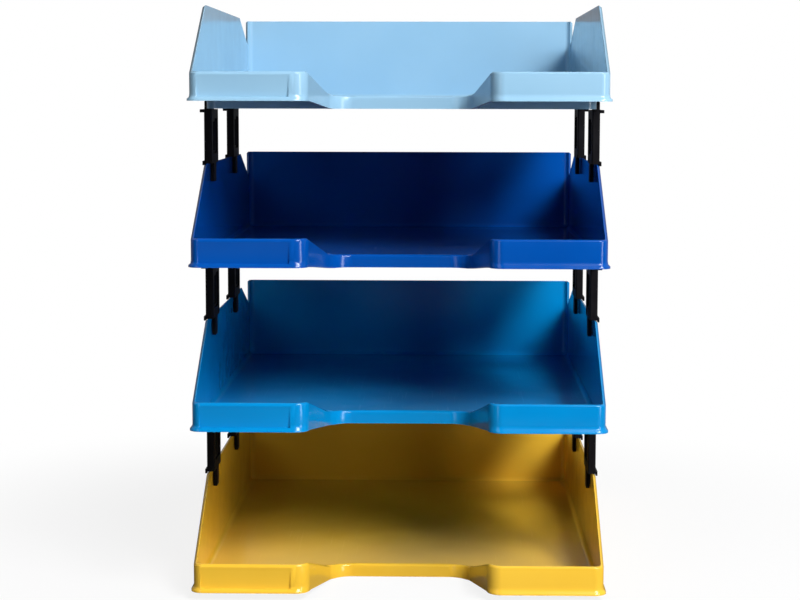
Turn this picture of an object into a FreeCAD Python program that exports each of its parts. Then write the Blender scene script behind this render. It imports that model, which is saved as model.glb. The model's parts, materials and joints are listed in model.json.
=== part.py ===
import FreeCAD, Part
import math
import os
import re

import Sketcher

# A stack of letter trays: four moulded trays held apart by twelve push-on risers.
# Millimetres, +Z up, the open front faces -Y, and the origin is the middle of the footprint.

# Driving sizes. Every word here becomes a cell of the sheet, with the same alias.
SIZES = {
    # Tray: overall, across the flared rim at the foot of its walls
    "tray_width": 255.0,
    "tray_depth": 346.0,
    "tray_height": 65.0,
    "wall": 2.0,
    "wall_corner_radius": 6.0,
    "floor_thickness": 2.0,
    # Tray: the hollow plinth below the rim, which the risers' tongues straddle
    "base_height": 5.0,
    "base_inset": 2.9,
    "base_corner_radius": 7.0,
    "rib": 2.0,
    "floor_fillet": 3.0,
    # Tray: the rim that flares out at the foot of the walls
    "flare_out": 1.6,
    "flare_height": 4.5,
    "rim_height": 1.2,
    "waist_height": 2.2,
    "waist_out": 0.35,
    # Tray: the front lip and the finger notch between its two pods
    "lip_height": 22.5,
    "centre_lip_height": 8.2,
    "notch_mouth": 112.0,
    "notch_back": 84.5,
    "notch_depth": 62.0,
    "notch_mouth_radius": 9.0,
    "notch_back_radius": 15.0,
    # Tray: how the lip falls along the notch's sides, from behind the pods' face to before the notch's back
    "lip_shoulder_run": 7.0,
    "lip_shoulder_radius": 5.0,
    "lip_knee_gap": 16.0,
    "lip_knee_height": 11.2,
    "lip_knee_radius": 20.0,
    "lip_tail_gap": 2.0,
    # Tray: the skirt that carries the notch's wall down beside the plinth, to before the notch's back
    "skirt_gap": 6.0,
    # Tray: the bevel along the outside of the walls' top edge
    "rim_bevel_width": 1.2,
    "rim_bevel_drop": 1.6,
    # Tray: the side walls' profile, seen from the side
    "slope_foot_run": 3.0,
    "slope_run": 74.0,
    "slope_round": 7.0,
    "rear_slant_run": 59.0,
    "rear_slant_drop": 19.0,
    "rear_slant_round": 3.0,
    "rear_post_width": 5.0,
    # Tray: the label field let into the face of the left pod
    "label_width": 55.0,
    "label_height": 13.0,
    "label_depth": 1.2,
    "label_side_gap": 5.0,
    "label_bottom": 7.5,
    # Riser: the plate between two trays
    "riser_length": 36.0,
    "riser_thickness": 5.0,
    "riser_edge_radius": 1.0,
    "panel_border": 6.0,
    "panel_depth": 1.2,
    "panel_corner_radius": 2.0,
    # Riser: the foot that grips the top edge of a side wall
    "slot_play": 0.2,
    "prong_play": 0.5,
    "prong_length": 12.0,
    "prong_width": 11.0,
    "foot_lip_thickness": 1.2,
    "foot_lip_height": 1.2,
    "foot_lip_root": 1.6,
    # Riser: the head that carries the tray above
    "tongue_thickness": 2.6,
    "tongue_play": 0.5,
    "tongue_end_inset": 3.0,
    "tongue_chamfer": 0.7,
    "ledge_reach": 2.6,
    "ledge_thickness": 2.0,
    "ledge_gap": 0.6,
    # Stack: the rise from tray to tray, and the risers' places behind the front wall
    "stack_pitch": 100.0,
    "front_riser_setback": 77.0,
    "rear_riser_setback": 206.0,
    # How far a cutting shape reaches past what it cuts
    "overrun": 1.0,
}

TRAYS = ("bottom_tray", "second_tray", "third_tray", "top_tray")
RISER_LEVELS = ("lower", "middle", "upper")

# Lengths worked out from the driving sizes, as expressions for the sheet.
WALL_X = "(tray_width / 2 - flare_out)"
WALL_Y = "(tray_depth / 2 - flare_out)"
WALL_FOOT = "(base_height + flare_height)"
FLOOR_TOP = "(base_height + floor_thickness)"
TRIM_TOP = "(tray_height + overrun)"
BASE_X = f"({WALL_X} - base_inset)"
BASE_FRONT = f"(notch_depth - {WALL_Y})"
BASE_BACK = f"({WALL_Y} - base_inset)"
NOTCH_BACK = BASE_FRONT
NOTCH_SLANT = "((notch_mouth - notch_back) / 2 / notch_depth)"
RISER_INNER = "(slot_play - riser_thickness)"
PLATE_TOP = "(stack_pitch - tray_height - ledge_gap)"
TONGUE_TOP = "(stack_pitch - tray_height + base_height)"
TONGUE_INNER = "(tongue_play - base_inset)"

EDGE_TOLERANCE = 1e-6
CURVE_TOLERANCE = 2e-3
SHARP_ANGLE = math.radians(30)
SIZE_NAME = re.compile(r"[a-z][a-z_]+")

doc = FreeCAD.newDocument("letter_tray_stack")
sheet = doc.addObject("Spreadsheet::Sheet", "sizes")


def fill_sheet():
    """Write each driving size into the sheet as text, with its alias."""
    for row, (alias, size) in enumerate(SIZES.items(), start=1):
        sheet.set(f"A{row}", alias)
        sheet.set(f"B{row}", str(size))
        sheet.setAlias(f"B{row}", alias)
    doc.recompute()


def bound(expression):
    """Point every size named in an expression at its cell in the sheet."""
    return SIZE_NAME.sub(lambda word: f"sizes.{word.group()}", expression)


def value(expression):
    """Work out an expression with the sheet's present sizes."""
    return float(sheet.evalExpression(expression))


def new_body(label):
    """Add an empty body whose label names its file."""
    body = doc.addObject("PartDesign::Body", label)
    body.Label = label
    return body


def origin_plane(body, role):
    """Find one of a body's own origin planes."""
    return next(item for item in body.Origin.OriginFeatures if item.Role == role)


def corner_arc(before, corner, after, radius):
    """Return the arc that rounds a corner, and whether it runs with the outline."""
    back = (before - corner).normalize()
    ahead = (after - corner).normalize()
    half_angle = back.getAngle(ahead) / 2
    middle = (back + ahead).normalize()
    centre = corner + middle * (radius / math.sin(half_angle))
    start = corner + back * (radius / math.tan(half_angle)) - centre
    end = corner + ahead * (radius / math.tan(half_angle)) - centre
    forward = back.cross(ahead).z < 0
    first, last = (start, end) if forward else (end, start)
    circle = Part.Circle(centre, FreeCAD.Vector(0, 0, 1), radius)
    arc = Part.ArcOfCircle(circle, math.atan2(first.y, first.x), math.atan2(last.y, last.x))
    return arc, forward


def outline(body, name, role, height, corners):
    """Draw a closed outline on a plane parallel to one of the body's origin planes.

    Each corner is three expressions: its two places and its radius, which is None where it is sharp.
    """
    sketch = body.newObject("Sketcher::SketchObject", name)
    sketch.AttachmentSupport = [(origin_plane(body, role), "")]
    sketch.MapMode = "FlatFace"
    sketch.setExpression("AttachmentOffset.Base.z", bound(height))
    places = [FreeCAD.Vector(value(across), value(along), 0) for across, along, _ in corners]
    count = len(corners)
    arcs = {}
    for index, (_, _, radius) in enumerate(corners):
        if radius is not None:
            near = (places[index - 1], places[index], places[(index + 1) % count])
            arcs[index] = corner_arc(*near, value(radius))
    lines = []
    for index in range(count):
        ends = [places[index], places[(index + 1) % count]]
        if index in arcs:
            arc, forward = arcs[index]
            ends[0] = arc.EndPoint if forward else arc.StartPoint
        if (index + 1) % count in arcs:
            arc, forward = arcs[(index + 1) % count]
            ends[1] = arc.StartPoint if forward else arc.EndPoint
        lines.append(sketch.addGeometry(Part.LineSegment(*ends), False))
    for index, (across, along, radius) in enumerate(corners):
        point = sketch.addGeometry(Part.Point(places[index]), True)
        bind(sketch, ("DistanceX", -1, 1, point, 1), f"across_{index}", across)
        bind(sketch, ("DistanceY", -1, 1, point, 1), f"along_{index}", along)
        before, after = lines[index - 1], lines[index]
        if radius is None:
            sketch.addConstraint(Sketcher.Constraint("Coincident", before, 2, point, 1))
            sketch.addConstraint(Sketcher.Constraint("Coincident", after, 1, point, 1))
            continue
        arc, forward = arcs[index]
        curve = sketch.addGeometry(arc, False)
        start, end = (1, 2) if forward else (2, 1)
        sketch.addConstraint(Sketcher.Constraint("Tangent", before, 2, curve, start))
        sketch.addConstraint(Sketcher.Constraint("Tangent", curve, end, after, 1))
        sketch.addConstraint(Sketcher.Constraint("PointOnObject", point, 1, before))
        sketch.addConstraint(Sketcher.Constraint("PointOnObject", point, 1, after))
        bind(sketch, ("Radius", curve), f"radius_{index}", radius)
    return sketch


def bind(sketch, constraint, name, expression):
    """Add a dimension to a sketch and bind it to the sheet."""
    index = sketch.addConstraint(Sketcher.Constraint(*constraint, value(expression)))
    sketch.renameConstraint(index, name)
    sketch.setExpression(f"Constraints.{name}", bound(expression))


def rectangle(low_across, high_across, low_along, high_along, radius=None):
    """Return the four corners of a rectangle, counter-clockwise."""
    return [
        (low_across, low_along, radius),
        (high_across, low_along, radius),
        (high_across, high_along, radius),
        (low_across, high_along, radius),
    ]


def extrude(body, kind, name, sketch, length, backward=False, both_ways=False):
    """Pad or pocket a sketch by a bound length."""
    feature = body.newObject(f"PartDesign::{kind}", name)
    feature.Profile = sketch
    feature.Reversed = backward
    feature.SideType = "Symmetric" if both_ways else "One side"
    feature.setExpression("Length", bound(length))
    return feature


def loft(body, kind, name, sections):
    """Run straight faces from each section to the next."""
    feature = body.newObject(f"PartDesign::{kind}", name)
    feature.Profile = sections[0]
    feature.Sections = sections[1:]
    feature.Ruled = True
    return feature


def dress(body, kind, name, wanted, size_name, size):
    """Round or bevel the edges of the body so far that the test picks."""
    doc.recompute()
    base = body.Tip
    edges = [f"Edge{number}" for number, edge in enumerate(base.Shape.Edges, start=1) if wanted(edge)]
    feature = body.newObject(f"PartDesign::{kind}", name)
    feature.Base = (base, edges)
    feature.setExpression(size_name, bound(size))
    return feature


def level_edge(height):
    """Return a test for edges that lie at one height of the body."""
    def lies_there(edge):
        box = edge.BoundBox
        reach = max(abs(box.ZMin - value(height)), abs(box.ZMax - value(height)))
        return reach < EDGE_TOLERANCE
    return lies_there


def mid_point(edge):
    """Return the point half-way along an edge."""
    return edge.valueAt((edge.FirstParameter + edge.LastParameter) / 2)


def is_sharp(shape, edge):
    """Say whether the two faces at an edge meet at a clear angle."""
    normals = []
    for face in shape.ancestorsOfType(edge, Part.Face):
        normals.append(face.normalAt(*face.Surface.parameter(mid_point(edge))))
    return len(normals) == 2 and normals[0].getAngle(normals[1]) > SHARP_ANGLE


def rim_edge(body):
    """Return a test for the sharp top edges of a tray's walls, on their outer face."""
    doc.recompute()
    shape = body.Tip.Shape
    plan = doc.getObject("wall_plan").Shape
    lowest = value("centre_lip_height") - EDGE_TOLERANCE
    at_foot = level_edge(WALL_FOOT)

    def lies_there(edge):
        box = edge.BoundBox
        middle = mid_point(edge)
        upright = max(box.XLength, box.YLength) < CURVE_TOLERANCE
        if box.ZMin < lowest or upright or at_foot(edge) or not is_sharp(shape, edge):
            return False
        below = Part.Vertex(middle.x, middle.y, plan.BoundBox.ZMin)
        return below.distToShape(plan)[0] < CURVE_TOLERANCE
    return lies_there


def tray_plan(out_x, out_y, radius, skin):
    """Return the plan of a tray's wall, with the finger notch in its front.

    The skin is how far the plan lies inside the outer face, so the notch moves out of the way by it.
    The notch's sides stay on the same slanting planes at every height.
    """
    back = f"(notch_back / 2 + {skin})"
    notch_end = f"({NOTCH_BACK} + {skin})"
    mouth = f"({back} + {NOTCH_SLANT} * ({notch_end} + {out_y}))"
    mouth_radius = f"(notch_mouth_radius - {skin})"
    back_radius = f"(notch_back_radius + {skin})"
    return [
        (f"-{out_x}", f"-{out_y}", radius),
        (f"-{mouth}", f"-{out_y}", mouth_radius),
        (f"-{back}", notch_end, back_radius),
        (back, notch_end, back_radius),
        (mouth, f"-{out_y}", mouth_radius),
        (out_x, f"-{out_y}", radius),
        (out_x, out_y, radius),
        (f"-{out_x}", out_y, radius),
    ]


def flared_plan(out):
    """Return the plan of the tray's outer face where it stands out from the walls by some way."""
    return tray_plan(f"({WALL_X} + {out})", f"({WALL_Y} + {out})", f"(wall_corner_radius + {out})", "0")


def tray_walls(body):
    """Add the plinth, the flared rim and the upright walls, still as one block."""
    base_plan = rectangle(f"-{BASE_X}", BASE_X, BASE_FRONT, BASE_BACK, "base_corner_radius")
    base = outline(body, "base_plan", "XY_Plane", "0", base_plan)
    extrude(body, "Pad", "base", base, "base_height")
    rim_sections = [
        outline(body, "rim_bottom", "XY_Plane", "base_height", flared_plan("flare_out")),
        outline(body, "rim_top", "XY_Plane", "base_height + rim_height", flared_plan("flare_out")),
        outline(body, "rim_waist", "XY_Plane", "base_height + waist_height", flared_plan("waist_out")),
        outline(body, "rim_neck", "XY_Plane", WALL_FOOT, flared_plan("0")),
    ]
    loft(body, "AdditiveLoft", "rim", rim_sections)
    foot = outline(body, "wall_plan", "XY_Plane", WALL_FOOT, flared_plan("0"))
    extrude(body, "Pad", "walls", foot, f"{TRIM_TOP} - {WALL_FOOT}")


def notch_side(skin, along):
    """Return how far from the middle a side of the notch lies, some way inside its outer face."""
    return f"(notch_back / 2 + {skin} + {NOTCH_SLANT} * ({NOTCH_BACK} + {skin} - {along}))"


def tray_skirt(body):
    """Carry the notch's wall down to the ground, with a lower edge that rises towards the pods."""
    front = f"(notch_mouth_radius - {WALL_Y})"
    outer = notch_side("0", front)
    inner = notch_side("wall", front)
    inner_back = f"({NOTCH_BACK} + wall)"
    inner_radius = "(notch_back_radius + wall)"
    skirt_plan = [
        (f"-{outer}", front, None),
        ("(-notch_back / 2)", NOTCH_BACK, "notch_back_radius"),
        ("(notch_back / 2)", NOTCH_BACK, "notch_back_radius"),
        (outer, front, None),
        (inner, front, None),
        ("(notch_back / 2 + wall)", inner_back, inner_radius),
        ("(-notch_back / 2 - wall)", inner_back, inner_radius),
        (f"-{inner}", front, None),
    ]
    skirt = outline(body, "skirt_plan", "XY_Plane", "0", skirt_plan)
    extrude(body, "Pad", "skirt", skirt, "base_height")
    clear = f"({front} - overrun)"
    skirt_run = "(notch_depth - notch_mouth_radius - skirt_gap)"
    lower_edge = [
        (clear, "base_height", None),
        (front, "base_height", None),
        (f"({front} + {skirt_run} * (1 + overrun / base_height))", "-overrun", None),
        (clear, "-overrun", None),
    ]
    edge = outline(body, "skirt_edge", "YZ_Plane", "0", lower_edge)
    extrude(body, "Pocket", "skirt_trim", edge, "tray_width", both_ways=True)


def tray_hollows(body):
    """Hollow the block above the floor, round the floor's edge, and hollow the plinth below it."""
    inner_radius = "(wall_corner_radius - wall)"
    inner_plan = tray_plan(f"({WALL_X} - wall)", f"({WALL_Y} - wall)", inner_radius, "wall")
    cavity = outline(body, "cavity_plan", "XY_Plane", FLOOR_TOP, inner_plan)
    extrude(body, "Pocket", "cavity", cavity, f"{TRIM_TOP} + overrun - {FLOOR_TOP}", backward=True)
    dress(body, "Fillet", "floor_edge", level_edge(FLOOR_TOP), "Radius", "floor_fillet")
    hollow_plan = rectangle(
        f"(rib - {BASE_X})",
        f"({BASE_X} - rib)",
        f"({BASE_FRONT} + rib)",
        f"({BASE_BACK} - rib)",
        "(base_corner_radius - rib)",
    )
    hollow = outline(body, "hollow_plan", "XY_Plane", "0", hollow_plan)
    extrude(body, "Pocket", "underside", hollow, "base_height", backward=True)


def tray_profile(body):
    """Trim the side walls to their sloping profile, and the lip to its fall along the notch."""
    front = "(-tray_depth / 2 - overrun)"
    back = "(tray_depth / 2 + overrun)"
    slope_top = f"(slope_run - {WALL_Y})"
    post = f"({WALL_Y} - rear_post_width)"
    profile = [
        (front, "lip_height", None),
        (f"(wall + slope_foot_run - {WALL_Y})", "lip_height", "slope_foot_run"),
        (slope_top, "tray_height", "slope_round"),
        (f"({post} - rear_slant_run)", "tray_height", "slope_round"),
        (post, "(tray_height - rear_slant_drop)", "rear_slant_round"),
        (post, "tray_height", None),
        (back, "tray_height", None),
        (back, "(tray_height + 2 * overrun)", None),
        (front, "(tray_height + 2 * overrun)", None),
    ]
    side = outline(body, "side_profile", "YZ_Plane", "0", profile)
    extrude(body, "Pocket", "side_trim", side, "tray_width + 2 * overrun", both_ways=True)
    lip_start = f"(wall - {WALL_Y})"
    lip_end = f"({NOTCH_BACK} + wall + floor_fillet)"
    lip_profile = [
        (lip_start, "lip_height", None),
        (f"(lip_shoulder_run - {WALL_Y})", "lip_height", "lip_shoulder_radius"),
        (f"({NOTCH_BACK} - lip_knee_gap)", "lip_knee_height", "lip_knee_radius"),
        (f"({NOTCH_BACK} - lip_tail_gap)", "centre_lip_height", "lip_knee_radius"),
        (lip_end, "centre_lip_height", None),
        (lip_end, TRIM_TOP, None),
        (lip_start, TRIM_TOP, None),
    ]
    lip = outline(body, "lip_profile", "YZ_Plane", "0", lip_profile)
    lip_span = "(notch_mouth + 2 * notch_mouth_radius + 2 * wall)"
    extrude(body, "Pocket", "lip_trim", lip, lip_span, both_ways=True)
    bevel = dress(body, "Chamfer", "rim_bevel", rim_edge(body), "Size", "rim_bevel_width")
    bevel.ChamferType = "Two distances"
    bevel.setExpression("Size2", bound("rim_bevel_drop"))


def tray_label(body):
    """Let the label field into the face of the left pod, deepest at its foot and flush at its head."""
    clear = "(flare_out + overrun)"
    wedge = [
        (f"(-{WALL_Y} - {clear})", "label_bottom", None),
        (f"(label_depth - {WALL_Y})", "label_bottom", None),
        (f"(-{WALL_Y} - {clear})", f"(label_bottom + label_height * (1 + {clear} / label_depth))", None),
    ]
    sketch = outline(body, "label_wedge", "YZ_Plane", f"label_side_gap - {WALL_X}", wedge)
    extrude(body, "Pocket", "label_field", sketch, "label_width", backward=True)


def make_tray_mould():
    """Build the shape that every tray shares, standing at the origin."""
    body = new_body("tray_mould")
    tray_walls(body)
    tray_hollows(body)
    tray_skirt(body)
    tray_profile(body)
    tray_label(body)
    return body


def riser_plate(body):
    """Add the plate, whose origin is where the wall's outer face meets its top edge."""
    half = "(riser_length / 2)"
    plate = rectangle(RISER_INNER, "slot_play", f"-{half}", half, "riser_edge_radius")
    sketch = outline(body, "plate_plan", "XY_Plane", "0", plate)
    extrude(body, "Pad", "plate", sketch, PLATE_TOP)
    panel = rectangle(
        f"(panel_border - {half})",
        f"({half} - panel_border)",
        "panel_border",
        f"({PLATE_TOP} - panel_border)",
        "panel_corner_radius",
    )
    outer = outline(body, "outer_panel", "YZ_Plane", "slot_play", panel)
    extrude(body, "Pocket", "outer_recess", outer, "panel_depth")
    inner = outline(body, "inner_panel", "YZ_Plane", RISER_INNER, panel)
    extrude(body, "Pocket", "inner_recess", inner, "panel_depth", backward=True)


def riser_head(body):
    """Add the ledge outside the wall, and the tongue that stands in the tray's rebate."""
    half = "(riser_length / 2)"
    ledge_bottom = f"({PLATE_TOP} - ledge_thickness)"
    ledge_plan = rectangle("(slot_play / 2)", "(slot_play + ledge_reach)", f"-{half}", half)
    ledge = outline(body, "ledge_plan", "XY_Plane", ledge_bottom, ledge_plan)
    extrude(body, "Pad", "ledge", ledge, "ledge_thickness")
    tongue_end = f"({half} - tongue_end_inset)"
    tongue_outer = f"({TONGUE_INNER} + tongue_thickness)"
    tongue_plan = rectangle(TONGUE_INNER, tongue_outer, f"-{tongue_end}", tongue_end)
    tongue = outline(body, "tongue_plan", "XY_Plane", PLATE_TOP, tongue_plan)
    extrude(body, "Pad", "tongue", tongue, f"({TONGUE_TOP} - {PLATE_TOP})")


def riser_foot(body):
    """Add the outer lip and the inner prong that the side wall stands between."""
    half = "(riser_length / 2)"
    lip_plan = rectangle("slot_play", "(slot_play + foot_lip_thickness)", f"-{half}", half)
    lip = outline(body, "foot_lip_plan", "XY_Plane", "-foot_lip_height", lip_plan)
    extrude(body, "Pad", "foot_lip", lip, "foot_lip_height + foot_lip_root")
    prong_outer = "(-wall - prong_play)"
    prong_end = "(prong_width / 2)"
    prong_plan = rectangle(RISER_INNER, prong_outer, f"-{prong_end}", prong_end)
    prong = outline(body, "prong_plan", "XY_Plane", "-prong_length", prong_plan)
    extrude(body, "Pad", "prong", prong, "prong_length")


def make_riser_mould():
    """Build the shape that every riser shares, standing on the wall at the origin."""
    body = new_body("riser_mould")
    riser_plate(body)
    riser_head(body)
    riser_foot(body)
    dress(body, "Chamfer", "tongue_lead", level_edge(TONGUE_TOP), "Size", "tongue_chamfer")
    return body


def cast(mould, label, turn, across, along, height):
    """Add a body of its own with a mould's shape, turned about +Z and set at a bound place."""
    body = new_body(label)
    clone = body.newObject("PartDesign::FeatureBase", f"{label}_shape")
    clone.BaseFeature = mould
    body.Tip = clone
    body.Placement = FreeCAD.Placement(FreeCAD.Vector(), FreeCAD.Rotation(turn, 0, 0))
    body.setExpression("Placement.Base.x", bound(across))
    body.setExpression("Placement.Base.y", bound(along))
    body.setExpression("Placement.Base.z", bound(height))
    return body


def make_trays(mould):
    """Cast the trays, one above the other."""
    return [cast(mould, label, 0, "0", "0", f"{level} * stack_pitch") for level, label in enumerate(TRAYS)]


def make_risers(mould):
    """Cast the risers, pushed onto both side walls of every tray but the top one."""
    risers = []
    for level, level_name in enumerate(RISER_LEVELS):
        height = f"tray_height + {level} * stack_pitch"
        for row in ("front", "rear"):
            along = f"{row}_riser_setback + riser_length / 2 - {WALL_Y}"
            risers.append(cast(mould, f"{level_name}_riser_{row}_left", 180, f"-{WALL_X}", along, height))
            risers.append(cast(mould, f"{level_name}_riser_{row}_right", 0, WALL_X, along, height))
    return risers


def check_features():
    """Stop if any object of the document failed."""
    for item in doc.Objects:
        if {"Invalid", "Error"} & set(item.State):
            raise RuntimeError(f"{item.Label} failed: {item.State}")


def check_body(body):
    """Stop if a body isn't one sound solid, or if a feature of it changed nothing."""
    shape = body.Shape
    if shape.isNull() or not shape.isValid() or len(shape.Solids) != 1:
        raise RuntimeError(f"{body.Label} is not one sound solid")
    volume = 0.0
    for feature in body.Group:
        if not feature.isDerivedFrom("PartDesign::Feature"):
            continue
        if abs(feature.Shape.Volume - volume) < EDGE_TOLERANCE:
            raise RuntimeError(f"{body.Label}: {feature.Name} changed nothing")
        volume = feature.Shape.Volume


def main():
    """Build the stack, check it and write one file for each piece."""
    fill_sheet()
    moulds = [make_tray_mould(), make_riser_mould()]
    bodies = make_trays(moulds[0]) + make_risers(moulds[1])
    doc.recompute()
    check_features()
    for body in moulds + bodies:
        check_body(body)
    os.makedirs("parts", exist_ok=True)
    for body in bodies:
        body.Shape.exportStep(f"parts/{body.Label}.step")


main()
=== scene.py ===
import json
import logging
import math
from abc import ABC, abstractmethod
from dataclasses import dataclass, field
from enum import Enum
from typing import Any, Iterable

import bmesh
import bpy
from mathutils import Matrix, Vector

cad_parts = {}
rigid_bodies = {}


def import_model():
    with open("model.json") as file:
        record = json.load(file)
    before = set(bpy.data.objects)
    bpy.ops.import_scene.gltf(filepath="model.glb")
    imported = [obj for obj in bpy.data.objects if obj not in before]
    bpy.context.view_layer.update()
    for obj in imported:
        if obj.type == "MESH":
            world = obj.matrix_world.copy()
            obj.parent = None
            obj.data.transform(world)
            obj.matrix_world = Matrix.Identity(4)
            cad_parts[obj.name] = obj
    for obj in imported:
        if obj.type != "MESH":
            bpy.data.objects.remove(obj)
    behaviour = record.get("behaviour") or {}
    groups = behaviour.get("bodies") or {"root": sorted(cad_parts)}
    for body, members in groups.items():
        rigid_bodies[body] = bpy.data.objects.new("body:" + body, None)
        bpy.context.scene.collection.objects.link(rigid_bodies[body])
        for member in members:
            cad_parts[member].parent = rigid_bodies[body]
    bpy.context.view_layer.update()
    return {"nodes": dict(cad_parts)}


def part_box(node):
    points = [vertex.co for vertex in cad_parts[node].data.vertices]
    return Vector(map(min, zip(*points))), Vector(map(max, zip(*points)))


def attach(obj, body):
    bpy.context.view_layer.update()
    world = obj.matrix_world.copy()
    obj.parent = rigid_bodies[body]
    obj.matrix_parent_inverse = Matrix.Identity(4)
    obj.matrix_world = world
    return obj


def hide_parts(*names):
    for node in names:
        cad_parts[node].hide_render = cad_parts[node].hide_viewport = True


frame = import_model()

# A stack of four letter trays on push-on risers. Metres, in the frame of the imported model.

LOG = logging.getLogger("letter_tray_stack")
MM = 0.001

Colour = tuple[float, float, float]
Point = tuple[float, float, float]
Band = tuple[float, float]

TRAY_BODIES = ("bottom_tray", "second_tray", "third_tray", "top_tray")
STARTUP_OBJECTS = ("Cube", "Light", "Camera")

# How a CAD mesh is joined up and shaded.
MERGE_DISTANCE = 0.001 * MM
FLAT_DEGREES = 0.1
SHARP_DEGREES = 40.0
FLAT_FACE_WEIGHT = 80

# The places of a colour mix node's sockets, whose names are shared with its other types.
MIX_SHARE, MIX_FIRST, MIX_SECOND, MIX_RESULT = 0, 6, 7, 2

# Edge wear and, on the trays, a painted edge highlight: rays for each rounded normal, and how far
# that normal turns before the lightening starts.
WEAR_SAMPLES = 4
WEAR_STARTS = 0.03

NOISE_MIDDLE = 0.5
WHITE = (1.0, 1.0, 1.0, 1.0)

# Where the upright strips and the rear lamps point.
STRIP_TARGET = (0.0, -0.05, 0.62)
REAR_TARGET = (0.0, 0.1, 0.2)


class Side(Enum):
    """The side wall that a riser stands on, as the sign of its X."""

    LEFT = -1
    RIGHT = 1


class Storey(Enum):
    """A gap between two trays, by the word that its risers' names start with."""

    LOWER = "lower"
    MIDDLE = "middle"
    UPPER = "upper"


class Row(Enum):
    """A riser's place along the side wall."""

    FRONT = "front"
    REAR = "rear"


def linear(red: int, green: int, blue: int) -> Colour:
    """Turn a screen colour into the linear one that shaders take, by the sRGB curve.

    Args:
        red: Red from 0 to 255.
        green: Green from 0 to 255.
        blue: Blue from 0 to 255.

    Returns:
        The three linear channels from 0 to 1.
    """
    def channel(level: int) -> float:
        share = level / 255
        return share / 12.92 if share <= 0.04045 else ((share + 0.055) / 1.055) ** 2.4
    return channel(red), channel(green), channel(blue)


def opaque(colour: Colour) -> tuple[float, float, float, float]:
    """Add full alpha to a colour."""
    return (*colour, 1.0)


def grey(level: float) -> tuple[float, float, float, float]:
    """Return an opaque linear grey."""
    return opaque((level, level, level))


class Signal:
    """A number that varies over a surface, which plain arithmetic can be done with."""

    def __init__(self, board: "NodeBoard", socket: bpy.types.NodeSocket) -> None:
        """Wrap an output socket of a board's tree."""
        self.board = board
        self.socket = socket

    def _math(self, operation: str, *terms: Any) -> "Signal":
        """Add a Math node for one operation on the terms, in order."""
        made = self.board.node("ShaderNodeMath", {"operation": operation}, dict(enumerate(terms)))
        return made.signal()

    def __add__(self, other: Any) -> "Signal":
        """Add a number or a signal."""
        return self._math("ADD", self, other)

    def __radd__(self, other: Any) -> "Signal":
        """Add to a number."""
        return self._math("ADD", other, self)

    def __sub__(self, other: Any) -> "Signal":
        """Take away a number or a signal."""
        return self._math("SUBTRACT", self, other)

    def __rsub__(self, other: Any) -> "Signal":
        """Take this away from a number."""
        return self._math("SUBTRACT", other, self)

    def __mul__(self, other: Any) -> "Signal":
        """Multiply by a number or a signal."""
        return self._math("MULTIPLY", self, other)

    def __rmul__(self, other: Any) -> "Signal":
        """Multiply a number by this."""
        return self._math("MULTIPLY", other, self)

    def at_most(self, other: Any) -> "Signal":
        """Return the smaller of the two."""
        return self._math("MINIMUM", self, other)

    def at_least(self, other: Any) -> "Signal":
        """Return the larger of the two."""
        return self._math("MAXIMUM", self, other)

    def step(self, low: float, high: float) -> "Signal":
        """Ease from 0 to 1 between two levels.

        Args:
            low: The level where the result leaves 0.
            high: The level where it reaches 1.

        Returns:
            The eased signal, clamped.
        """
        settings = {"interpolation_type": "SMOOTHSTEP"}
        values = {"Value": self, "From Min": low, "From Max": high}
        return self.board.node("ShaderNodeMapRange", settings, values).signal()


class MadeNode:
    """A node that a board has made, with its outputs at hand."""

    def __init__(self, board: "NodeBoard", node: bpy.types.Node) -> None:
        """Keep the node and the board that it is on."""
        self.board = board
        self.node = node

    def out(self, name: str | int = 0) -> bpy.types.NodeSocket:
        """Return an output socket by its name or place."""
        return self.node.outputs[name]

    def signal(self, name: str | int = 0) -> Signal:
        """Return an output as a number for arithmetic."""
        return Signal(self.board, self.out(name))


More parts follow.
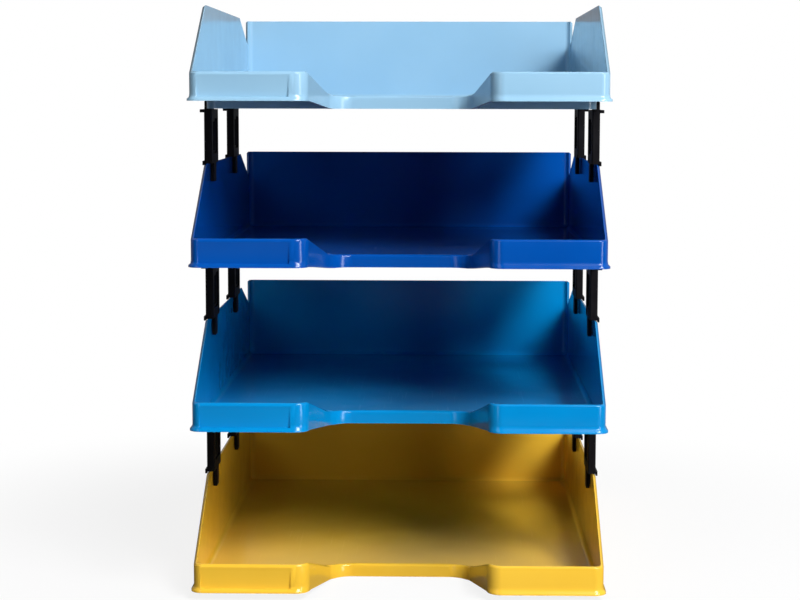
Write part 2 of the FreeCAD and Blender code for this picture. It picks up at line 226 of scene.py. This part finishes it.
class NodeBoard:
    """A node tree, shader or geometry, that nodes are added to."""

    def __init__(self, tree: bpy.types.NodeTree) -> None:
        """Start from an empty tree."""
        self.tree = tree
        tree.nodes.clear()

    def node(
        self,
        kind: str,
        settings: dict[str, Any] | None = None,
        values: dict[str | int, Any] | None = None,
    ) -> MadeNode:
        """Add a node of any type.

        Args:
            kind: The node's type.
            settings: Its own properties, which are set first.
            values: What goes into its input sockets: a value, a signal, a socket or a made node.

        Returns:
            The node.
        """
        node = self.tree.nodes.new(kind)
        for name, setting in (settings or {}).items():
            setattr(node, name, setting)
        for name, value in (values or {}).items():
            if isinstance(value, Signal):
                value = value.socket
            elif isinstance(value, MadeNode):
                value = value.out()
            if isinstance(value, bpy.types.NodeSocket):
                self.tree.links.new(value, node.inputs[name])
            else:
                node.inputs[name].default_value = value
        return MadeNode(self, node)

    def noise(
        self, place: Any, size: float, detail: float = 2.0, roughness: float = 0.5
    ) -> Signal:
        """Add a noise whose blobs are about a given size.

        Args:
            place: The coordinates that it reads.
            size: The size of a blob in metres.
            detail: The octaves of finer noise.
            roughness: How strong those octaves are.

        Returns:
            The noise, mostly between 0.3 and 0.7.
        """
        values = {"Vector": place, "Scale": 1 / size, "Detail": detail, "Roughness": roughness}
        return self.node("ShaderNodeTexNoise", {"noise_dimensions": "3D"}, values).signal("Fac")

    def blend(self, share: Any, first: Any, second: Any) -> bpy.types.NodeSocket:
        """Mix two colours by a share of the second."""
        settings = {"data_type": "RGBA", "clamp_factor": True}
        values = {MIX_SHARE: share, MIX_FIRST: first, MIX_SECOND: second}
        return self.node("ShaderNodeMix", settings, values).out(MIX_RESULT)

    def part(self, vector: Any, axis: str) -> Signal:
        """Return one coordinate of a vector."""
        return self.node("ShaderNodeSeparateXYZ", None, {"Vector": vector}).signal(axis)

    def edge_wear(self, facing: bpy.types.NodeSocket, reach: float, full: float) -> Signal:
        """Find the narrow strip along a piece's edges, where handling wears it and where the trays
        also get a painted highlight along their rims.

        Args:
            facing: The surface normal.
            reach: How far the strip reaches from an edge, in metres.
            full: How far the rounded normal turns where the wear is full.

        Returns:
            A mask that is 1 on an edge.
        """
        rounded = self.node("ShaderNodeBevel", {"samples": WEAR_SAMPLES}, {"Radius": reach})
        dot = {"operation": "DOT_PRODUCT"}
        turned = self.node("ShaderNodeVectorMath", dot, {0: rounded, 1: facing})
        return (1.0 - turned.signal("Value")).step(WEAR_STARTS, full)


class Finish(ABC):
    """A procedural surface finish that is made into a material once."""

    title: str
    slot: str

    @abstractmethod
    def mix(self) -> bpy.types.Material:
        """Build the material."""

    def material(self) -> bpy.types.Material:
        """Return the material, making it the first time."""
        made = bpy.data.materials.get(self.title)
        return made or self.mix()

    def start(self) -> tuple[bpy.types.Material, NodeBoard]:
        """Make an empty material and its board."""
        made = bpy.data.materials.new(self.title)
        made.use_nodes = True
        return made, NodeBoard(made.node_tree)


@dataclass(frozen=True)
class TrayPlastic(Finish):
    """Glossy moulded polystyrene, lightened at the edges both as wear and as a painted highlight
    along the rims, and scratched where paper slides over it.
    """

    title: str
    slot: str
    colour: Colour
    shade: Colour
    # rubbed is the lighter edge colour, for worn plastic and for a painted highlight along the
    # rims and edges.
    rubbed: Colour
    roughness: float = 0.17
    ior: float = 1.5
    floor_band: Band = (0.9, 0.99)
    flow_size: float = 62 * MM
    flow_band: Band = (0.3, 0.7)
    smudge_size: float = 17 * MM
    smudge_gloss: float = 0.14
    peel_size: float = 2.3 * MM
    peel_height: float = 0.35
    ripple_size: float = 24 * MM
    ripple_height: float = 0.9
    grain_size: float = 0.55 * MM
    grain_height: float = 0.1
    scratch_scale: Point = (900.0, 14.0, 900.0)
    scratch_band: Band = (0.64, 0.7)
    scratch_tint: float = 0.04
    scratch_gloss: float = 0.06
    scratch_depth: float = 0.03
    # The edge strip's reach and lightening: partly wear, partly a painted highlight along the
    # rims.
    wear_reach: float = 1.1 * MM
    wear_full: float = 0.2
    wear_band: Band = (0.4, 0.62)
    wear_tint: float = 0.45
    wear_gloss: float = 0.1
    bump_strength: float = 0.35
    bump_distance: float = 0.05 * MM

    def mix(self) -> bpy.types.Material:
        """Build the material.

        Returns:
            The finished material.
        """
        made, board = self.start()
        place = board.node("ShaderNodeTexCoord").out("Object")
        facing = board.node("ShaderNodeNewGeometry").out("Normal")
        floor = board.part(facing, "Z").step(*self.floor_band)

        flow = board.noise(place, self.flow_size, detail=3.0)
        smudge = board.noise(place, self.smudge_size, detail=4.0, roughness=0.6)
        peel = board.noise(place, self.peel_size, detail=1.0)
        ripple = board.noise(place, self.ripple_size, detail=1.0)
        grain = board.noise(place, self.grain_size)
        stretched = {"Vector": place, "Scale": self.scratch_scale}
        along = board.node("ShaderNodeMapping", None, stretched)
        scratch = board.noise(along, size=1.0).step(*self.scratch_band) * floor
        # Edges are lightened towards the rubbed colour, both as wear and as a painted highlight
        # along the rims.
        edges = board.edge_wear(facing, self.wear_reach, self.wear_full)
        worn = edges * smudge.step(*self.wear_band)

        flowed = flow.step(*self.flow_band)
        tone = board.blend(flowed, opaque(self.shade), opaque(self.colour))
        wear_and_painted_highlight = (worn * self.wear_tint + scratch * self.scratch_tint).at_most(1.0)
        tint = board.blend(wear_and_painted_highlight, tone, opaque(self.rubbed))
        gloss = self.roughness + (smudge - NOISE_MIDDLE) * self.smudge_gloss
        gloss = gloss + scratch * self.scratch_gloss + worn * self.wear_gloss
        height = peel * self.peel_height + ripple * self.ripple_height
        height = height + grain * floor * self.grain_height - scratch * self.scratch_depth
        bump = board.node("ShaderNodeBump", None, {
            "Strength": self.bump_strength, "Distance": self.bump_distance, "Height": height,
        })
        shader = board.node("ShaderNodeBsdfPrincipled", None, {
            "Base Color": tint, "Roughness": gloss, "IOR": self.ior, "Normal": bump,
        })
        board.node("ShaderNodeOutputMaterial", None, {"Surface": shader})
        return made


@dataclass(frozen=True)
class RiserPlastic(Finish):
    """Black moulded plastic with the fine grain of a spark-eroded mould."""

    title: str = "black_riser_plastic"
    slot: str = "black_plastic"
    colour: Colour = linear(25, 24, 27)
    shade: Colour = linear(18, 17, 20)
    rubbed: Colour = linear(62, 60, 64)
    roughness: float = 0.55
    specular: float = 0.05
    cloud_size: float = 14 * MM
    cloud_band: Band = (0.35, 0.65)
    cloud_gloss: float = 0.2
    grain_size: float = 0.4 * MM
    wear_reach: float = 0.6 * MM
    wear_full: float = 0.25
    wear_band: Band = (0.42, 0.6)
    wear_tint: float = 0.5
    wear_gloss: float = 0.06
    bump_strength: float = 0.5
    bump_distance: float = 0.04 * MM

    def mix(self) -> bpy.types.Material:
        """Build the material.

        Returns:
            The finished material.
        """
        made, board = self.start()
        place = board.node("ShaderNodeTexCoord").out("Object")
        facing = board.node("ShaderNodeNewGeometry").out("Normal")
        cloud = board.noise(place, self.cloud_size, detail=4.0, roughness=0.6)
        grain = board.noise(place, self.grain_size)
        edges = board.edge_wear(facing, self.wear_reach, self.wear_full)
        worn = edges * cloud.step(*self.wear_band)

        clouded = cloud.step(*self.cloud_band)
        tone = board.blend(clouded, opaque(self.shade), opaque(self.colour))
        tint = board.blend(worn * self.wear_tint, tone, opaque(self.rubbed))
        gloss = self.roughness + (cloud - NOISE_MIDDLE) * self.cloud_gloss
        gloss = gloss - worn * self.wear_gloss
        bump = board.node("ShaderNodeBump", None, {
            "Strength": self.bump_strength, "Distance": self.bump_distance, "Height": grain,
        })
        shader = board.node("ShaderNodeBsdfPrincipled", None, {
            "Base Color": tint, "Roughness": gloss,
            "Specular IOR Level": self.specular, "Normal": bump,
        })
        board.node("ShaderNodeOutputMaterial", None, {"Surface": shader})
        return made


class TrayTint(Enum):
    """The four tray colours, from the bottom of the stack to its top."""

    # The third colour of each tray is its lighter edge colour: worn plastic and a painted rim
    # highlight.
    SAFFRON = TrayPlastic(
        "saffron_tray_plastic", "saffron_plastic",
        linear(252, 202, 64), linear(248, 196, 57), linear(254, 222, 132),
    )
    SKY = TrayPlastic(
        "sky_tray_plastic", "sky_plastic",
        linear(0, 144, 214), linear(0, 138, 208), linear(74, 182, 232),
    )
    COBALT = TrayPlastic(
        "cobalt_tray_plastic", "cobalt_plastic",
        linear(0, 82, 174), linear(0, 77, 167), linear(66, 124, 206),
    )
    PALE_BLUE = TrayPlastic(
        "pale_blue_tray_plastic", "pale_blue_plastic",
        linear(153, 196, 224), linear(148, 192, 221), linear(190, 218, 238),
    )


def merged_copy(node: str, title: str) -> bpy.types.Object:
    """Copy a CAD node's mesh into a new object, with its loose triangles joined.

    Args:
        node: The CAD node's name.
        title: The new piece's name.

    Returns:
        The piece, in place, with its flat faces whole.
    """
    shape = bmesh.new()
    shape.from_mesh(frame["nodes"][node].data)
    bmesh.ops.remove_doubles(shape, verts=shape.verts, dist=MERGE_DISTANCE)
    flat = math.radians(FLAT_DEGREES)
    bmesh.ops.dissolve_limit(shape, angle_limit=flat, verts=shape.verts, edges=shape.edges)
    mesh = bpy.data.meshes.new(title)
    shape.to_mesh(mesh)
    shape.free()
    piece = bpy.data.objects.new(title, mesh)
    bpy.context.scene.collection.objects.link(piece)
    return piece


def smooth(piece: bpy.types.Object) -> None:
    """Shade a piece smooth except across its sharp edges, and keep flat faces flat."""
    piece.data.shade_smooth()
    piece.data.set_sharp_from_angle(angle=math.radians(SHARP_DEGREES))
    weighted = piece.modifiers.new("flat_faces", "WEIGHTED_NORMAL")
    weighted.keep_sharp = True
    weighted.weight = FLAT_FACE_WEIGHT


def dress(piece: bpy.types.Object, finish: Finish) -> None:
    """Give a piece one finish all over."""
    piece.data.materials.clear()
    piece.data.materials.append(finish.material())


def register(piece: bpy.types.Object, body: str, replaced: Iterable[str] = ()) -> None:
    """Hand a finished piece to the frame.

    Args:
        piece: The piece.
        body: The CAD body that it moves with.
        replaced: The CAD nodes that it stands for.
    """
    if replaced:
        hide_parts(*replaced)
    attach(piece, body)
    LOG.info("%s rides on %s, %d faces", piece.name, body, len(piece.data.polygons))


class NodeTool:
    """A geometry node tree with named inputs, run once to make a plain mesh."""

    SOCKETS = {float: "NodeSocketFloat", int: "NodeSocketInt", Vector: "NodeSocketVector"}

    def __init__(self, title: str, sizes: dict[str, float | int | Vector]) -> None:
        """Make the tree and one input for each size.

        Args:
            title: The tree's name.
            sizes: The inputs' names and values, whose types choose the sockets.
        """
        self.tree = bpy.data.node_groups.new(title, "GeometryNodeTree")
        self.board = NodeBoard(self.tree)
        self.sizes = sizes
        self.keys: dict[str, str] = {}
        face = self.tree.interface
        for name, value in sizes.items():
            entry = face.new_socket(name, in_out="INPUT", socket_type=self.SOCKETS[type(value)])
            self.keys[name] = entry.identifier
        face.new_socket("Geometry", in_out="OUTPUT", socket_type="NodeSocketGeometry")
        self.given = self.board.node("NodeGroupInput")

    def size(self, name: str) -> Signal:
        """Return an input of the tree by its name."""
        return self.given.signal(name)

    def finish(self, shape: Any, finish: Finish) -> None:
        """End the tree: real geometry, with a material.

        Args:
            shape: The geometry so far.
            finish: The finish that it gets.
        """
        real = self.board.node("GeometryNodeRealizeInstances", None, {"Geometry": shape})
        values = {"Geometry": real, "Material": finish.material()}
        painted = self.board.node("GeometryNodeSetMaterial", None, values)
        self.board.node("NodeGroupOutput", None, {"Geometry": painted})

    def mesh(self, title: str) -> bpy.types.Object:
        """Run the tree and keep what it makes as a plain mesh.

        Args:
            title: The piece's name.

        Returns:
            The piece, with no modifier left on it.
        """
        holder = bpy.data.objects.new(title, bpy.data.meshes.new(title + "_start"))
        bpy.context.scene.collection.objects.link(holder)
        maker = holder.modifiers.new("maker", "NODES")
        maker.node_group = self.tree
        for name, key in self.keys.items():
            value = self.sizes[name]
            maker[key] = list(value) if isinstance(value, Vector) else value
        graph = bpy.context.evaluated_depsgraph_get()
        made = bpy.data.meshes.new_from_object(holder.evaluated_get(graph))
        holder.modifiers.remove(maker)
        holder.data = made
        made.name = title
        return holder


@dataclass
class Tray:
    """One letter tray: its moulded shell, and the ejector marks under its floor."""

    body: str
    tint: TrayTint
    base_height: float = 5 * MM
    notch_depth: float = 62 * MM
    mark_columns: int = 4
    mark_rows: int = 5
    mark_sides: int = 28
    mark_diameter: float = 8 * MM
    mark_foot_share: float = 0.46
    mark_root_share: float = 0.5
    mark_height: float = 0.3 * MM
    mark_sink: float = 0.1 * MM
    mark_margin: float = 32 * MM

    def build(self) -> None:
        """Make both pieces and hand them to the frame."""
        finish = self.tint.value
        shell = merged_copy(self.body, f"{self.body}_shell")
        smooth(shell)
        dress(shell, finish)
        register(shell, self.body, [self.body])
        marks = self.ejector_marks()
        smooth(marks)
        register(marks, self.body)

    def ejector_marks(self) -> bpy.types.Object:
        """Lay a grid of round ejector marks on the underside of the floor.

        Returns:
            The marks as one piece.
        """
        low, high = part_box(self.body)
        front = low.y + self.notch_depth
        middle = Vector(((low.x + high.x) / 2, (front + high.y) / 2, low.z + self.base_height))
        sizes = {
            "Width": high.x - low.x - 2 * self.mark_margin,
            "Depth": high.y - front - 2 * self.mark_margin,
            "Columns": self.mark_columns,
            "Rows": self.mark_rows,
            "Diameter": self.mark_diameter,
            "Thickness": self.mark_height + self.mark_sink,
            "Place": middle - Vector((0, 0, self.mark_height)),
        }
        tool = NodeTool(f"{self.body}_ejector_grid", sizes)
        grid = tool.board.node("GeometryNodeMeshGrid", None, {
            "Size X": tool.size("Width"), "Size Y": tool.size("Depth"),
            "Vertices X": tool.size("Columns"), "Vertices Y": tool.size("Rows"),
        })
        disc = tool.board.node("GeometryNodeMeshCone", None, {
            "Vertices": self.mark_sides,
            "Radius Bottom": tool.size("Diameter") * self.mark_foot_share,
            "Radius Top": tool.size("Diameter") * self.mark_root_share,
            "Depth": tool.size("Thickness"),
        })
        spread = tool.board.node("GeometryNodeInstanceOnPoints", None, {
            "Points": grid, "Instance": disc,
        })
        placed = tool.board.node("GeometryNodeTransform", None, {
            "Geometry": spread, "Translation": tool.given.out("Place"),
        })
        tool.finish(placed, self.tint.value)
        return tool.mesh(f"{self.body}_ejector_marks")


@dataclass
class Riser:
    """One push-on riser: its moulded body, and the stiffening ribs in its two panels."""

    storey: Storey
    row: Row
    side: Side
    finish: RiserPlastic = field(default_factory=RiserPlastic)
    edge_round: float = 0.28 * MM
    edge_segments: int = 2
    thickness: float = 5 * MM
    prong_length: float = 12 * MM
    plate_height: float = 34.4 * MM
    panel_border: float = 6 * MM
    panel_depth: float = 1.2 * MM
    rib_count: int = 3
    rib_sides: int = 14
    rib_radius: float = 0.8 * MM
    rib_gap: float = 6 * MM
    rib_end_gap: float = 2 * MM

    @property
    def body(self) -> str:
        """The CAD body's name."""
        return f"{self.storey.value}_riser_{self.row.value}_{self.side.name.lower()}"

    def build(self) -> None:
        """Make both pieces and hand them to the frame."""
        block = merged_copy(self.body, f"{self.body}_block")
        soft = block.modifiers.new("edge_round", "BEVEL")
        soft.width = self.edge_round
        soft.segments = self.edge_segments
        soft.limit_method = "ANGLE"
        soft.angle_limit = math.radians(SHARP_DEGREES)
        soft.harden_normals = False
        smooth(block)
        dress(block, self.finish)
        register(block, self.body, [self.body])
        ribs = self.panel_ribs()
        smooth(ribs)
        register(ribs, self.body)

    def panel_ribs(self) -> bpy.types.Object:
        """Stand a row of half-round ribs in the recess on each face of the plate.

        Returns:
            The ribs of both faces as one piece.
        """
        low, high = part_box(self.body)
        inner = low.x if self.side is Side.RIGHT else high.x
        foot = low.z + self.prong_length + self.panel_border + self.rib_end_gap
        rib_length = self.plate_height - 2 * self.panel_border - 2 * self.rib_end_gap
        first_y = (low.y + high.y) / 2 - self.rib_gap * (self.rib_count - 1) / 2
        sizes = {
            "Count": self.rib_count,
            "Gap": self.rib_gap,
            "Radius": self.rib_radius,
            "Length": rib_length,
            "Web": self.thickness - 2 * self.panel_depth,
            "Start": Vector((inner + self.side.value * self.panel_depth, first_y, foot)),
            "Across": Vector((float(self.side.value), 0, 0)),
        }
        tool = NodeTool(f"{self.body}_rib_row", sizes)
        board = tool.board
        step = board.node("ShaderNodeCombineXYZ", None, {"Y": tool.size("Gap")})
        row = board.node("GeometryNodeMeshLine", {"mode": "OFFSET"}, {
            "Count": tool.size("Count"), "Start Location": tool.given.out("Start"), "Offset": step,
        })
        top = board.node("ShaderNodeCombineXYZ", None, {"Z": tool.size("Length")})
        spine = board.node("GeometryNodeCurvePrimitiveLine", {"mode": "POINTS"}, {"End": top})
        section = board.node("GeometryNodeCurvePrimitiveCircle", {"mode": "RADIUS"}, {
            "Resolution": self.rib_sides, "Radius": tool.size("Radius"),
        })
        rod = board.node("GeometryNodeCurveToMesh", None, {
            "Curve": spine, "Profile Curve": section, "Fill Caps": True,
        })
        spread = board.node("GeometryNodeInstanceOnPoints", None, {"Points": row, "Instance": rod})
        shift = board.node("ShaderNodeVectorMath", {"operation": "SCALE"}, {
            "Vector": tool.given.out("Across"), "Scale": tool.size("Web"),
        })
        far_face = board.node("GeometryNodeTransform", None, {
            "Geometry": spread, "Translation": shift,
        })
        both = board.node("GeometryNodeJoinGeometry", None, {"Geometry": spread})
        board.tree.links.new(far_face.out(), both.node.inputs["Geometry"])
        tool.finish(both, self.finish)
        return tool.mesh(f"{self.body}_ribs")


@dataclass(frozen=True)
class Softbox:
    """A rectangular studio light that faces the stack, and may stay out of its reflections."""

    title: str
    place: Point
    width: float
    height: float
    power: float
    target: Point = (0.0, -0.05, 0.18)
    mirrored: bool = True

    def build(self) -> None:
        """Hang the light and turn it to its target."""
        lamp = bpy.data.lights.new(self.title, "AREA")
        lamp.shape = "RECTANGLE"
        lamp.size = self.width
        lamp.size_y = self.height
        lamp.energy = self.power
        light = bpy.data.objects.new(self.title, lamp)
        light.location = self.place
        light.visible_glossy = self.mirrored
        aim = Vector(self.target) - Vector(self.place)
        light.rotation_euler = aim.to_track_quat("-Z", "Y").to_euler()
        bpy.context.scene.collection.objects.link(light)
        LOG.info("light %s", self.title)


@dataclass
class Studio:
    """The pale floor, the light and the camera."""

    softboxes: tuple[Softbox, ...] = (
        Softbox("key_right", (0.85, -1.78, 1.43), 0.8, 0.8, 37.0),
        Softbox("side_right", (1.15, -1.2, 1.81), 0.7, 0.7, 25.0),
        Softbox("fill_left", (-1.18, -1.46, 1.56), 0.9, 0.9, 3.5),
        Softbox("strip_right", (1.61, -1.55, 0.62), 0.5, 1.2, 11.0, STRIP_TARGET),
        Softbox("strip_left", (-1.2, -1.89, 0.62), 0.5, 1.2, 2.2, STRIP_TARGET),
        Softbox("rear_right", (1.7, 1.7, 0.2), 0.9, 0.36, 9.0, REAR_TARGET, mirrored=False),
        Softbox("rear_left", (-1.7, 1.7, 0.2), 0.9, 0.36, 9.0, REAR_TARGET, mirrored=False),
    )
    ambient: float = 0.015
    reflected_background: float = 0.3
    background_band: Band = (-0.35, 0.1)
    floor_size: float = 30.0
    floor_drop: float = 0.2 * MM
    floor_fade: Band = (0.2, 0.5)
    floor_behind: Band = (0.1, 0.4)
    floor_glow: float = 0.86
    floor_patch: float = 0.4
    floor_patch_band: Band = (0.3, 0.7)
    floor_pale: float = 0.93
    floor_paler: float = 0.95
    floor_unseen: float = 0.12
    camera_place: Point = (0.0252, -1.31394, 0.30803)
    camera_pitch: float = 0.10642
    camera_yaw: float = -0.02131
    camera_roll: float = 0.00198
    camera_nearest: float = 0.01
    camera_farthest: float = 100.0
    focal_pixels: float = 1909.25
    image_width: int = 800
    sensor_width: float = 36.0

    def build(self) -> None:
        """Set up everything that isn't part of the stack."""
        self.world()
        self.floor()
        for softbox in self.softboxes:
            softbox.build()
        self.camera()
        bpy.context.scene.view_settings.view_transform = "Standard"

    def mirrored(self, path: MadeNode, behind: Signal) -> Signal:
        """Return how much of the white backdrop behind the stack glossy surfaces reflect.

        Args:
            path: The light path.
            behind: A mask that is 1 behind the stack.

        Returns:
            The share of white.
        """
        return path.signal("Is Glossy Ray") * behind * self.reflected_background

    def world(self) -> None:
        """Light the scene dimly from all round, and show a white background."""
        world = bpy.data.worlds.new("studio_world")
        world.use_nodes = True
        bpy.context.scene.world = world
        board = NodeBoard(world.node_tree)
        path = board.node("ShaderNodeLightPath")
        direction = board.node("ShaderNodeTexCoord").out("Generated")
        behind = board.part(direction, "Y").step(*self.background_band)
        shown = path.signal("Is Camera Ray").at_least(self.mirrored(path, behind))
        shown = shown.at_least(path.signal("Is Transmission Ray"))
        dim = board.node("ShaderNodeBackground", None, {"Color": WHITE, "Strength": self.ambient})
        white = board.node("ShaderNodeBackground", None, {"Color": WHITE, "Strength": 1.0})
        mixed = board.node("ShaderNodeMixShader", None, {0: shown, 1: dim, 2: white})
        board.node("ShaderNodeOutputWorld", None, {"Surface": mixed})

    def floor(self) -> None:
        """Lay a wide pale floor just under the stack."""
        half = self.floor_size / 2
        corners = [(-half, -half), (half, -half), (half, half), (-half, half)]
        mesh = bpy.data.meshes.new("studio_floor")
        mesh.from_pydata([(x, y, -self.floor_drop) for x, y in corners], [], [(0, 1, 2, 3)])
        floor = bpy.data.objects.new("studio_floor", mesh)
        bpy.context.scene.collection.objects.link(floor)
        mesh.materials.append(self.floor_paper())

    def floor_paper(self) -> bpy.types.Material:
        """Mix the floor's paper, which shows as near white and keeps the stack's soft shadow.

        Returns:
            The finished material.
        """
        paper = bpy.data.materials.new("studio_floor_paper")
        paper.use_nodes = True
        board = NodeBoard(paper.node_tree)
        place = board.node("ShaderNodeTexCoord").out("Object")
        path = board.node("ShaderNodeLightPath")
        seen = path.signal("Is Camera Ray")
        patches = board.noise(place, self.floor_patch).step(*self.floor_patch_band)
        paler = board.blend(patches, grey(self.floor_pale), grey(self.floor_paler))
        tone = board.blend(seen, grey(self.floor_unseen), paler)
        lit = board.node("ShaderNodeBsdfDiffuse", None, {"Color": tone})
        glow = board.node("ShaderNodeEmission", None, {"Color": WHITE, "Strength": 1.0})
        reach = board.node("ShaderNodeVectorMath", {"operation": "LENGTH"}, {0: place})
        fade = reach.signal("Value").step(*self.floor_fade)
        behind = board.part(place, "Y").step(*self.floor_behind)
        share = seen * (self.floor_glow + (1 - self.floor_glow) * fade)
        share = share.at_least(self.mirrored(path, behind))
        shader = board.node("ShaderNodeMixShader", None, {0: share, 1: lit, 2: glow})
        board.node("ShaderNodeOutputMaterial", None, {"Surface": shader})
        return paper

    def camera(self) -> None:
        """Place the camera where the photograph was taken from."""
        lens = bpy.data.cameras.new("photo_camera")
        lens.sensor_fit = "HORIZONTAL"
        lens.sensor_width = self.sensor_width
        lens.lens = self.focal_pixels / self.image_width * self.sensor_width
        lens.clip_start = self.camera_nearest
        lens.clip_end = self.camera_farthest
        camera = bpy.data.objects.new("photo_camera", lens)
        bpy.context.scene.collection.objects.link(camera)
        turn = (
            Matrix.Rotation(self.camera_roll, 3, "Y")
            @ Matrix.Rotation(self.camera_pitch, 3, "X")
            @ Matrix.Rotation(self.camera_yaw, 3, "Z")
        )
        right, ahead, up = turn
        frame_of_view = Matrix((right, up, -ahead)).transposed()
        camera.matrix_world = Matrix.Translation(self.camera_place) @ frame_of_view.to_4x4()
        bpy.context.scene.camera = camera


def main() -> None:
    """Build the studio, the trays and the risers, in that order."""
    logging.basicConfig(level=logging.INFO)
    for stray in [item for item in bpy.data.objects if item.name in STARTUP_OBJECTS]:
        bpy.data.objects.remove(stray)
    Studio().build()
    for body, tint in zip(TRAY_BODIES, TrayTint):
        Tray(body, tint).build()
    for storey in Storey:
        for row in Row:
            for side in Side:
                Riser(storey, row, side).build()


if __name__ == "__main__":
    main()
